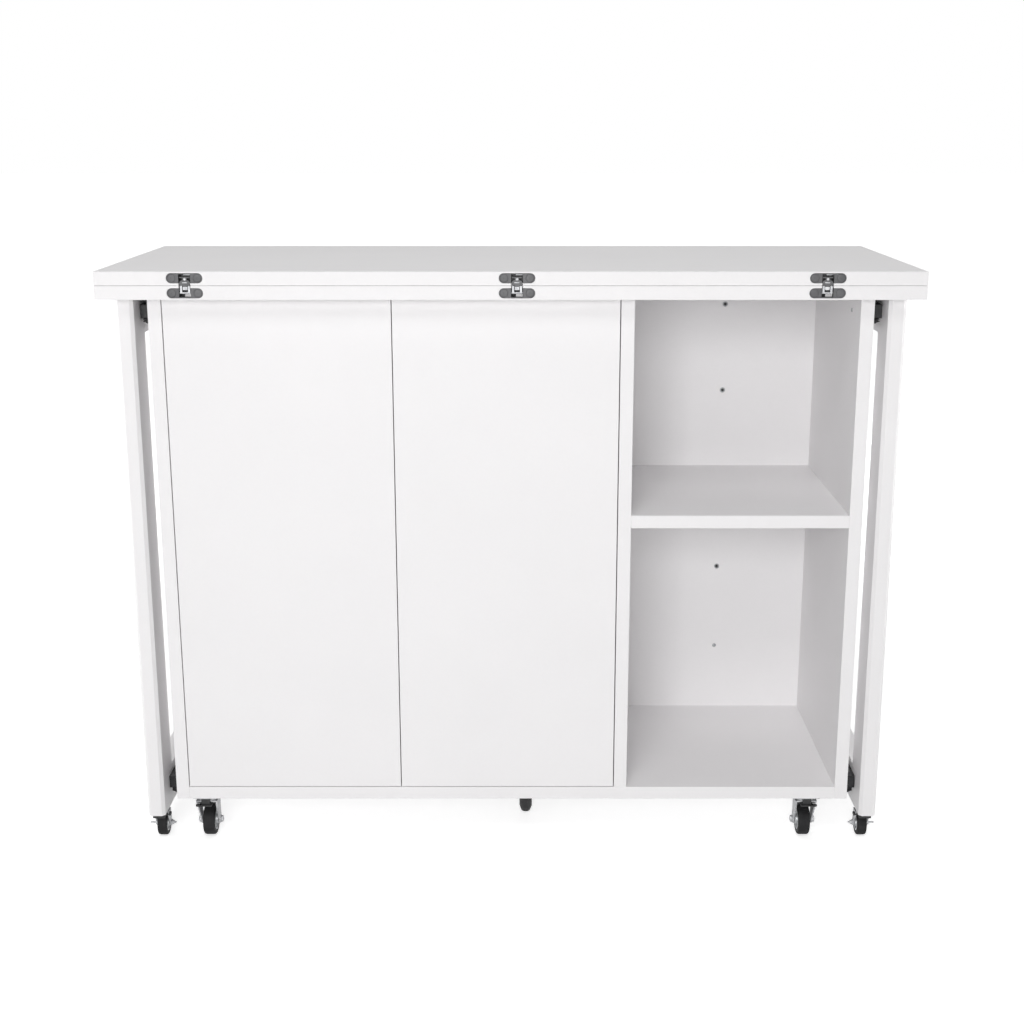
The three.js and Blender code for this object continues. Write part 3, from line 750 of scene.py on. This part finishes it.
def makeHingeArm(side, level, title):
    # the arm and its mounting plate, on the board that the door hangs from
    look = doorHinge
    node = f"door_{side}_hinge_arm_{level}"
    low, high = box(node)
    hand = 1 if side == "left" else -1
    board = low.x if side == "left" else high.x
    middle = centreOf(node)[2]
    x0, x1 = span(board, hand, 0, look["plateThick"])
    plate = made(
        addRounded, (x0, low.y + look["plateFront"], low.z), (x1, high.y, high.z), 0,
        look["plateCorner"], 5,
    )
    addPiece(plate, f"{title}Plate", "island", "zinc", [node], 0.5, 2)
    spots = [
        (board + hand * look["plateThick"], low.y + look["plateScrewDepth"],
         middle + way * look["plateScrewRise"])
        for way in (-1, 1)
    ]
    addScrews(f"{title}PlateScrews", "island", spots, 0, hand, "plate")
    arm = bmesh.new()
    base, top = look["armHeights"]
    x0, x1 = span(board, hand, base, top)
    front, half = low.y + look["armFront"], look["armHalf"]
    addBlock(arm, (x0, front, middle - half), (x1, high.y - 1, middle + half))
    ridge = board + hand * top
    rear = [vert for vert in arm.verts if abs(vert.co.x - ridge) < 0.1 and vert.co.y > high.y - 5]
    bmesh.ops.translate(arm, verts=rear, vec=(-hand * look["armFall"], 0, 0))
    x0, x1 = span(board, hand, *look["neckHeights"])
    end, half = low.y + look["neckEnd"], look["neckHalf"]
    addBlock(arm, (x0, front, middle - half), (x1, end, middle + half))
    addPiece(arm, f"{title}Arm", "island", "zinc", (), 1.0, 3)
    # adjusting screws, lower where the arm falls
    for index, depth in enumerate(look["adjusters"]):
        fall = max(0, depth - 4) * look["armFall"] / (high.y - low.y)
        spot = (board + hand * (look["adjusterHeight"] - fall), low.y + depth, middle)
        addScrews(f"{title}Adjuster{index}", "island", [spot], 0, hand, "adjuster")


for side in ("left", "right"):
    makeDoor(side)
    for level in levels:
        title = f"{side}Door{level.capitalize()}"
        makeHingeCup(side, level, title)
        makeHingeArm(side, level, title)
print("doors made")


frameLook = {
    "edge": 0.8, "chamfer": 5, "stile": 64, "topRail": 58, "bottomRail": 64, "seam": 0.25,
    "stemSetback": 32,  # the caster's stem behind the frame's front
    "stemHole": 4.8, "stemHoleDepth": 30.5,
}
slideLook = {
    "edge": 0.35, "sheet": 1.5, "lip": 5, "play": 0.3,
    "neck": 10,  # half the height of the runner's outer part
    "groove": (7, 4),  # from the neck's outer face
    "grooveDepth": 1.4, "grooveEnds": 20,
    # a fin of the end stop, from the channel's open side and from its drop under the neck
    "fin": ((-0.4, -1.8), (5.2, 0.2), (5.2, 1.5), (-0.4, 0.6)), "finDrops": (2.4, 5.6),
    "finRun": (0.6, 14), "balls": 6, "ballRadius": 0.96, "ballStart": 6, "ballStep": 8,
}


def makeSupportFrame(side):
    node = f"frame_{side}"
    low, high = box(node)
    look = frameLook
    solid = bmesh.new()
    verts = addBlock(solid, low, high)
    front = [edge for edge in edgesAlong(verts, 2) if edge.verts[0].co.y < low.y + 1]
    roundOff(solid, front, look["chamfer"], 1)
    opening = made(
        addBlock, (low.x - past, low.y + look["stile"], low.z + look["bottomRail"]),
        (high.x + past, high.y - look["stile"], high.z - look["topRail"]),
    )
    stem = (centreOf(f"caster_frame_{side}_fork")[0], low.y + look["stemSetback"], low.z)
    stemHole = roundHole(look["stemHole"], -past, look["stemHoleDepth"], stem, 2)
    # fine seams where the rails butt against the stiles
    seams = bmesh.new()
    width = look["seam"]
    runs = (
        (low.z - 1, low.z + look["bottomRail"] + 0.2),
        (high.z - look["topRail"] - 0.2, high.z + 1),
    )
    for y in (low.y + look["stile"], high.y - look["stile"]):
        for start, end in runs:
            for face in (low.x, high.x):
                addBlock(seams, (face - width, y - width, start), (face + width, y + width, end))
    solid = cutAway(solid, opening, stemHole, seams)
    addPiece(solid, f"{side}SupportFrame", node, "board", [node], look["edge"], 3)


def slideSection(outline, inner, sign, centre):
    return [(inner + sign * u, centre + v) for u, v in outline]


def makeSlide(side, sign, level):
    title = f"{side}{level.capitalize()}Slide"
    look = slideLook
    node = f"slide_{side}_{level}_channel"
    low, high = box(node)
    inner = low.x if sign > 0 else high.x  # the cabinet's side
    centre = centreOf(node)[2]
    # outlines run from the cabinet's side outwards and from the slide's middle upwards
    depth = high.x - low.x
    half = (high.z - low.z) / 2
    sheet, lip = look["sheet"], look["lip"]
    outline = mirrored([
        (0, -half), (depth, -half), (depth, -half + lip), (depth - sheet, -half + lip),
        (depth - sheet, -half + sheet), (sheet, -half + sheet),
    ])
    section = slideSection(outline, inner, sign, centre)
    channel = made(addPrism, section, 1, low.y, high.y)
    addPiece(channel, f"{title}Channel", "island", "blackSteel", [node], look["edge"], 2)
    node = f"slide_{side}_{level}_runner"
    runnerLow, runnerHigh = box(node)
    held = (runnerHigh.z - runnerLow.z) / 2
    neck = look["neck"]
    back, front = sheet + look["play"], depth - sheet - look["play"]
    outerFace = runnerHigh.x - runnerLow.x + back
    outline = mirrored([(back, -held), (front, -held), (front, -neck), (outerFace, -neck)])
    section = slideSection(outline, inner, sign, centre)
    runner = made(addPrism, section, 1, low.y, high.y)
    # a shallow groove along the neck's upper and lower face, as a rolled section has
    grooves = bmesh.new()
    near, far = look["groove"]
    inset = look["grooveEnds"]
    x0, x1 = span(inner, sign, outerFace - near, outerFace - far)
    for way in (-1, 1):
        z0, z1 = span(centre, way, neck + 1, neck - look["grooveDepth"])
        addBlock(grooves, (x0, low.y + inset, z0), (x1, high.y - inset, z1))
    runner = cutAway(runner, grooves)
    addPiece(runner, f"{title}Runner", f"frame_{side}", "blackSteel", [node], look["edge"], 2)
    # two slanted fins of the end stop, under the runner's neck
    fins = bmesh.new()
    start, end = look["finRun"]
    for drop in look["finDrops"]:
        outline = [(depth + u, -(neck + drop) + v) for u, v in look["fin"]]
        section = slideSection(outline, inner, sign, centre)
        addPrism(fins, section, 1, low.y + start, low.y + end)
    addPiece(fins, f"{title}Stop", "island", "plastic", (), 0.2, 2)
    # ball rows between the runner and the channel, seen at the front end
    balls = bmesh.new()
    for way in (-1, 1):
        for step in range(look["balls"]):
            spot = Vector((
                inner + sign * (depth / 2), low.y + look["ballStart"] + step * look["ballStep"],
                centre + way * (held + 0.1),
            ))
            bmesh.ops.create_icosphere(
                balls, subdivisions=2, radius=look["ballRadius"], matrix=Matrix.Translation(spot),
            )
    addPiece(balls, f"{title}Balls", "island", "zinc")


for side, sign in (("left", -1), ("right", 1)):
    makeSupportFrame(side)
    for level in levels:
        makeSlide(side, sign, level)
print("frames and slides made")


cabinetWheel = {
    "radius": 25, "width": 19, "shoulder": 3.2, "rim": 17.2, "recess": 3.2, "hub": 7.6,
    "hubWidth": 24, "bore": 4.2, "spokes": 5,
}
frameWheel = {
    "radius": 20, "width": 15.5, "shoulder": 2.8, "rim": 13.4, "recess": 2.6, "hub": 5.8,
    "hubWidth": 18.2, "bore": 2.7, "spokes": 5,
}
cabinetFork = {
    "head": 15.5, "gap": 13, "sheet": 2.5, "halfDepth": 14, "end": 7, "drop": 2.5, "flare": 1.6,
    "bolt": 10, "boltLength": 4.6, "pedalThick": 2.2, "tabDepth": 6.4, "treadWide": 9.8,
    "pinInset": 3, "pinRadius": 1.9, "pedalRise": 1.6,
    # inner side, behind the pedal's front and above its middle: start and end of each block
    "blocks": [(-6.8, 3.2, 0.8, 6.8, 8.4, 12.4)],
}
frameFork = {
    "head": 8.8, "gap": 9.7, "sheet": 2, "halfDepth": 8.5, "end": 5.5, "drop": 3, "flare": 0.6,
    "bolt": 7, "boltLength": 8.6, "pedalThick": 1.8, "tabDepth": 5, "treadWide": 8.8,
    "pinInset": 2, "pinRadius": 0.9, "pedalRise": 0,
    "blocks": [
        (-12, 0, -4, 7.5, 2.2, 0.6), (12, 6, -2, 15.6, 13, 2.6), (7, 6, -0.9, 13, 9, 0.9),
    ],
}
forkShape = {
    "shoulder": 6,  # below the bridge, where the arm starts to narrow
    "frontLean": 0.8, "rearLean": 0.6, "axleRise": 1.5,
    "bends": (0.35, 0.6, 0.82),  # rows across the arm so that it bends in a curve
}
# shares of the bolt's size, and thicknesses
boltShape = {"shaft": 0.28, "washer": 0.62, "hexagon": 0.94, "washerThick": 0.9, "shaftEnd": 0.7}
studLook = {
    # from the arm's outer face, as (place, radius); the cone ends at the bolt's length
    "cone": [(-1, 0), (-1, 4.6), (0.9, 4.8), (1.8, 4.2), (4.0, 2.9), (6.4, 1.6)],
    "stud": [(-2, 0), (-2, 1.5), (10.4, 1.5), (11, 1.0), (11, 0)], "nut": (0.1, 2.2),
}
pedalRibs = {
    "count": 4, "start": 1.8, "step": 1.9, "width": 0.9, "share": 0.8, "sunk": 0.2, "rise": 0.5,
}
plateLook = {
    "thick": 2.4, "corner": 5, "holeInset": 6.5, "holeRadius": 2.2, "screwDrop": 2.3,
    # below the plate's top, as (place, radius)
    "race": [(-2.2, 0), (-2.2, 14.8), (-3.4, 14.9), (-5.2, 14.2), (-6.4, 12.6), (-6.4, 0)],
    "pinRadius": 4, "pinHead": 6, "pinHeadThick": 1.2,
}
# the rod is given as radius, start and end over the leg's foot
stemLook = {"rod": (4.5, -1, 29.8), "chamfer": 0.6, "headGap": 0.3}


def bothSides(flank):
    # a profile whose other side is the flank turned over
    return [(-a, r) for a, r in reversed(flank)] + flank


def makeWheel(node, title, look):
    centre = Vector(centreOf(node))
    half = look["width"] / 2
    radius = look["radius"]
    shoulder = look["shoulder"]
    rim = look["rim"]
    # rubber tread: round shoulders, a flat crown and a shallow step in each side
    flank = [
        (half * 0.4, radius), (half - shoulder, radius - 0.05),
        (half - shoulder * 0.38, radius - shoulder * 0.26),
        (half - shoulder * 0.12, radius - shoulder * 0.62), (half, radius - shoulder * 1.15),
        (half, rim + 1.8), (half - 0.3, rim + 1.2), (half - 0.3, rim - 0.2),
    ]
    rubber = made(addTurned, bothSides(flank), centre, 0, 64, closed=True)
    addPiece(rubber, f"{title}Tyre", node, "tyre", [node])
    # wheel centre: rim flange, dished web with round holes, and hub
    web = half - look["recess"]
    hub = look["hub"]
    hubHalf = look["hubWidth"] / 2
    flank = [
        (half - 0.5, rim), (half - 0.1, rim - 0.5), (half - 0.1, rim - 1.5), (web + 0.6, rim - 2.3),
        (web, rim - 3.1), (web, hub + 1.6), (web + 0.5, hub + 0.6), (hubHalf - 0.6, hub),
        (hubHalf, hub - 0.6), (hubHalf, look["bore"]),
    ]
    middle = made(addTurned, bothSides(flank), centre, 0, 64, closed=True)
    # the holes stand midway across the web
    ring = (rim - 3.1 + hub + 1.6) / 2
    size = (rim - 3.1 - hub - 1.6) * 0.34
    holes = []
    for index in range(look["spokes"]):
        turn = Matrix.Rotation(2 * math.pi * index / look["spokes"], 3, "X")
        spot = centre + turn @ Vector((0, 0, ring))
        holes.append(roundHole(size, -half - 1, half + 1, spot, 0, 20))
    middle = cutAway(middle, *holes)
    addPiece(middle, f"{title}Centre", node, "wheelGrey", (), 0.25, 2)


def forkArm(look, pivot, bridgeTop, axle, sign):
    # a pressed arm, wide and splayed at the head and round at the axle
    pivotX, pivotY = pivot
    end = look["end"]
    half = look["halfDepth"]
    shoulder = bridgeTop - forkShape["shoulder"]
    rise = axle.z + forkShape["axleRise"]
    arm = bmesh.new()
    outline = [
        (pivotY + half, bridgeTop), (pivotY - half, bridgeTop),
        (pivotY - half + forkShape["frontLean"], shoulder),
        (axle.y - end, rise), (axle.y - end, axle.z - end),
        (axle.y + end, axle.z - end), (axle.y + end, rise),
        (pivotY + half + forkShape["rearLean"], shoulder),
    ]
    x0, x1 = span(pivotX, sign, look["gap"], look["gap"] + look["sheet"])
    verts = addPrism(arm, outline, 0, x0, x1)
    foot = [edge for edge in edgesAlong(verts, 0) if edge.verts[0].co.z < axle.z - end + 0.1]
    roundOff(arm, foot, end * 0.98, 7)
    for share in forkShape["bends"]:
        level = axle.z + (bridgeTop - axle.z) * share
        bmesh.ops.bisect_plane(
            arm, geom=arm.verts[:] + arm.edges[:] + arm.faces[:],
            plane_co=(0, 0, level), plane_no=(0, 0, 1),
        )
    for vert in arm.verts:
        share = max(0.0, (vert.co.z - axle.z) / (bridgeTop - axle.z))
        vert.co.x += sign * look["flare"] * share ** 2
    return arm


def makeFork(node, title, look, pivot, headBase):
    # gives the axle's place and the arms' outer faces
    axle = Vector(centreOf(node.replace("_fork", "_wheel")))
    pivotX, pivotY = pivot
    outside = look["gap"] + look["sheet"]
    drop = look["drop"]
    bridgeTop = headBase - drop
    # pressed head with a rounded rim, and the bridge between the arms
    radius = look["head"]
    profile = [
        (-drop - 1, 0), (-drop - 1, radius * 0.96), (-drop - 0.2, radius),
        (-0.7, radius), (0, radius * 0.93), (0, 0),
    ]
    fork = made(addTurned, profile, (pivotX, pivotY, headBase), 2)
    wide = outside + look["flare"] - 0.2
    addRounded(
        fork, (pivotX - wide, pivotY - look["halfDepth"], bridgeTop - look["sheet"]),
        (pivotX + wide, pivotY + look["halfDepth"], bridgeTop), 2, 3, 4,
    )
    joinIn(fork, *(forkArm(look, pivot, bridgeTop, axle, sign) for sign in (-1, 1)))
    addPiece(fork, f"{title}Fork", node, "zinc", [node], 0.5, 2)
    return axle, outside


def makeAxleBolt(title, body, look, pivotX, axle, outside):
    # a through bolt with washers and a hexagon at each end
    centre = (pivotX, axle.y, axle.z)
    reach = outside + look["boltLength"]
    size = look["bolt"]
    washerRadius = size * boltShape["washer"]
    washerEnd = outside + boltShape["washerThick"]
    washer = [(outside, 0), (outside, washerRadius), (washerEnd, washerRadius), (washerEnd, 0)]
    bolt = made(addRod, size * boltShape["shaft"], -reach, reach, centre, 0, 0.5, 20)
    heads = bmesh.new()
    nutEnd = reach - boltShape["shaftEnd"]
    for sign in (-1, 1):
        addTurned(bolt, [(sign * a, r) for a, r in washer], centre, 0, 28)
        addHex(heads, size * boltShape["hexagon"], sign * washerEnd, sign * nutEnd, centre, 0)
    addPiece(bolt, f"{title}Axle", body, "zinc")
    addPiece(heads, f"{title}AxleNuts", body, "zinc")


def makeStudAxle(title, body, look, pivotX, axle, outside, outer):
    # a domed cone nut on the inner side, a thin stud with a small nut on the outer
    centre = (pivotX, axle.y, axle.z)
    length = look["boltLength"]
    profile = studLook["cone"] + [(length - 0.3, 0.7), (length, 0)]
    profile = [(-outer * (outside + a), r) for a, r in profile]
    addPiece(made(addTurned, profile, centre, 0, 32), f"{title}ConeNut", body, "zinc")
    profile = [(outer * (outside + a), r) for a, r in studLook["stud"]]
    addPiece(made(addTurned, profile, centre, 0, 20), f"{title}Stud", body, "zinc")
    start, end = (outer * (outside + a) for a in studLook["nut"])
    nut = made(addHex, look["bolt"] * boltShape["hexagon"], start, end, centre, 0)
    addPiece(nut, f"{title}StudNut", body, "zinc")


def makePedal(node, title, look, outer):
    # a thin tab to the outer side, the tread over the wheel and what grips the plate or the leg
    low, high = box(node)
    tipX, arm = (low.x, high.x) if outer < 0 else (high.x, low.x)
    pivotX = arm + outer * (look["gap"] + look["sheet"])
    middle = (low.z + high.z) / 2 + look["pedalRise"]
    front = low.y
    thick = look["pedalThick"] / 2
    base, top = middle - thick, middle + thick
    pedal = bmesh.new()
    x0, x1 = sorted((pivotX, tipX))
    verts = addBlock(pedal, (x0, front, base), (x1, front + look["tabDepth"], top))
    corners = [edge for edge in edgesAlong(verts, 2) if abs(edge.verts[0].co.x - tipX) < 0.1]
    roundOff(pedal, corners, look["tabDepth"] * 0.46, 8)
    half = look["treadWide"]
    addBlock(pedal, (pivotX - half, front + 0.2, base), (pivotX + half, high.y, top))
    # grip ribs along the tread
    ribs = pedalRibs
    wide = half * ribs["share"]
    for index in range(ribs["count"]):
        y = front + ribs["start"] + index * ribs["step"]
        addBlock(
            pedal, (pivotX - wide, y, top - ribs["sunk"]),
            (pivotX + wide, y + ribs["width"], top + ribs["rise"]),
        )
    # the pin that it turns on, through both arms
    reach = look["gap"] + look["sheet"] * 0.7
    spot = (pivotX, high.y - look["pinInset"], middle)
    addRod(pedal, look["pinRadius"], -reach, reach, spot, 0, 0.2, 16)
    for near, y0, z0, far, y1, z1 in look["blocks"]:
        x0, x1 = span(pivotX, -outer, near, far)
        addRounded(pedal, (x0, front + y0, middle + z0), (x1, front + y1, middle + z1), 1, 0.8, 3)
    addPiece(pedal, f"{title}Pedal", node, "plastic", [node], 0.3, 2)


def makeMountingPlate(node, title):
    # gives the place that the caster turns about
    low, high = box(node)
    look = plateLook
    pivotX, pivotY, _ = centreOf(node)
    reach = (high.x - low.x) / 2 - look["holeInset"]
    corners = [(pivotX + sx * reach, pivotY + sy * reach) for sx in (-1, 1) for sy in (-1, 1)]
    base = (low.x, low.y, high.z - look["thick"])
    plate = made(addRounded, base, (high.x, high.y, high.z), 2, look["corner"])
    holes = [roundHole(look["holeRadius"], -4, past, (x, y, high.z), 2) for x, y in corners]
    addPiece(cutAway(plate, *holes), f"{title}Plate", "island", "zinc", [node], 0.5, 2)
    top = (pivotX, pivotY, high.z)
    addPiece(made(addTurned, look["race"], top, 2, 40), f"{title}Race", "island", "zinc")
    end = low.z - high.z
    pin = made(addRod, look["pinRadius"], end, -2, top, 2, 0.2)
    addRod(pin, look["pinHead"], end, end + look["pinHeadThick"], top, 2, 0.4)
    addPiece(pin, f"{title}KingPin", "island", "zinc")
    spots = [(x, y, high.z - look["screwDrop"]) for x, y in corners]
    addScrews(f"{title}PlateScrews", "island", spots, 2, -1, "caster")
    return pivotX, pivotY


hands = (("left", -1), ("right", 1))
for row in ("front", "rear"):
    for side, outer in hands:
        name = f"caster_{row}_{side}"
        fork = f"{name}_fork"
        title = f"{row}{side.capitalize()}Caster"
        pivot = makeMountingPlate(f"{name}_plate", title)
        makeWheel(f"{name}_wheel", title, cabinetWheel)
        axle, outside = makeFork(fork, title, cabinetFork, pivot, box(fork)[1].z)
        makeAxleBolt(title, fork, cabinetFork, pivot[0], axle, outside)
        if row == "front":
            makePedal(f"{name}_brake", title, cabinetFork, outer)
for side, outer in hands:
    name = f"caster_frame_{side}"
    fork = f"{name}_fork"
    title = f"{side}FrameCaster"
    leg = box(f"frame_{side}")[0]
    pivot = (centreOf(fork)[0], leg.y + frameLook["stemSetback"])
    makeWheel(f"{name}_wheel", title, frameWheel)
    axle, outside = makeFork(fork, title, frameFork, pivot, leg.z - stemLook["headGap"])
    makeStudAxle(title, fork, frameFork, pivot[0], axle, outside, outer)
    stem = made(addRod, *stemLook["rod"], (*pivot, leg.z), 2, stemLook["chamfer"], 28)
    addPiece(stem, f"{title}Stem", fork, "zinc")
    makePedal(f"{name}_brake", title, frameFork, outer)
print("casters made")


footLook = {"plate": 20, "post": 10.5, "tip": 7.5, "screws": 3, "screwReach": 15, "screwDrop": 2.8}


def makeFoot():
    low, high = box("centre_foot")
    x, y, _ = centreOf("centre_foot")
    centre = Vector((x, y, low.z))
    tall = high.z - low.z
    look = footLook
    post, plate = look["post"], look["plate"]
    # a tapered tip, a post with a groove round it and a flared plate
    profile = [
        (0, 0), (0, look["tip"] - 0.8), (0.8, look["tip"]), (9, post),
        (24, post), (24.8, post - 0.7), (26, post - 0.7), (26.8, post),
        (tall - 8, post), (tall - 4.5, post + 2), (tall - 3, plate - 0.6), (tall - 2.4, plate),
        (tall, plate), (tall, 0),
    ]
    foot = made(addTurned, profile, centre, 2)
    addPiece(foot, "centreFoot", "island", "plastic", ["centre_foot"])
    reach = look["screwReach"]
    spots = []
    for index in range(look["screws"]):
        angle = math.radians(90 + 360 / look["screws"] * index)
        x, y = centre.x + reach * math.cos(angle), centre.y + reach * math.sin(angle)
        spots.append((x, y, high.z - look["screwDrop"]))
    addScrews("centreFootScrews", "island", spots, 2, -1, "foot")


makeFoot()
print("foot made")


studioLook = {
    "world": 0.18, "floorShade": (0.80, 0.80, 0.80), "floorRoughness": 0.9, "floorGloss": 0.1,
    "floorGlow": (0.60, 1.0),  # near the object and far from it, not seen by the object's light
    "glowReach": (0.9, 2.2), "floorSize": 60,
}
# the last three light the sides and the back alone
lamps = {
    "front": {"place": (-0.45, -4.0, 1.55), "aim": (0, 0, 0.55), "size": (1.5, 1.4), "watts": 73},
    "slant": {"place": (-0.6, -3.4, 4.3), "aim": (0, 0, 0.4), "size": (2.2, 1.5), "watts": 54},
    "top": {"place": (0.0, 0.0, 3.8), "aim": (0, 0, 0.9), "size": (3.4, 2.4), "watts": 22},
    "left": {"place": (-2.6, 0.35, 0.42), "aim": (0, 0.1, 0.55), "size": (1, 0.8), "watts": 20},
    "right": {"place": (2.6, 0.35, 0.42), "aim": (0, 0.1, 0.55), "size": (1, 0.8), "watts": 20},
    "back": {"place": (0.2, 3.2, 0.42), "aim": (0, 0, 0.55), "size": (2.4, 0.8), "watts": 36},
}


def makeWorld(look):
    world = bpy.data.worlds.new("studio")
    world.use_nodes = True
    bpy.context.scene.world = world
    tree = world.node_tree
    tree.nodes.clear()
    root = Wire(tree)
    seen, shine, through = [root.rays(kind) for kind in ("Camera", "Glossy", "Transmission")]
    plain = seen.maths("MAXIMUM", shine).maths("MAXIMUM", through)
    strength = plain * (1 - look["world"]) + look["world"]
    inputs = {"Color": (1, 1, 1, 1), "Strength": strength}
    background = root.make("ShaderNodeBackground", {}, inputs)
    root.make("ShaderNodeOutputWorld", {}, {"Surface": background})


def makeFloor(look):
    bm = bmesh.new()
    bmesh.ops.create_grid(bm, x_segments=8, y_segments=8, size=look["floorSize"] / 2)
    mesh = toMesh(bm, "floor")
    floor = placeObject("floor", mesh)
    material, place = startMaterial("paleFloor", {
        "Base Color": (*look["floorShade"], 1),
        "Roughness": look["floorRoughness"],
        "Specular IOR Level": look["floorGloss"],
        "Emission Strength": 1,
    })
    lengthOf = {"operation": "LENGTH"}
    away = place.make("ShaderNodeVectorMath", lengthOf, {0: place}, output="Value")
    near, far = look["glowReach"]
    low, high = look["floorGlow"]
    limits = {"Value": away, "From Min": near, "From Max": far, "To Min": low, "To Max": high}
    glow = away.make("ShaderNodeMapRange", {"interpolation_type": "SMOOTHSTEP"}, limits)
    seen = place.rays("Camera").maths("MAXIMUM", place.rays("Glossy"))
    joinMaterial(material, Emission_Color=glow * seen)
    mesh.materials.append(material)


def makeLamp(name, setup):
    lamp = bpy.data.lights.new(name, "AREA")
    lamp.shape = "RECTANGLE"
    lamp.size, lamp.size_y = setup["size"]
    lamp.energy = setup["watts"]
    holder = placeObject(name, lamp)
    holder.location = setup["place"]
    toward = Vector(setup["aim"]) - Vector(setup["place"])
    holder.rotation_euler = toward.to_track_quat("-Z", "Y").to_euler()


makeWorld(studioLook)
makeFloor(studioLook)
for side, setup in lamps.items():
    makeLamp(f"{side}Softbox", setup)
bpy.context.scene.view_settings.view_transform = "Standard"
print("studio set")
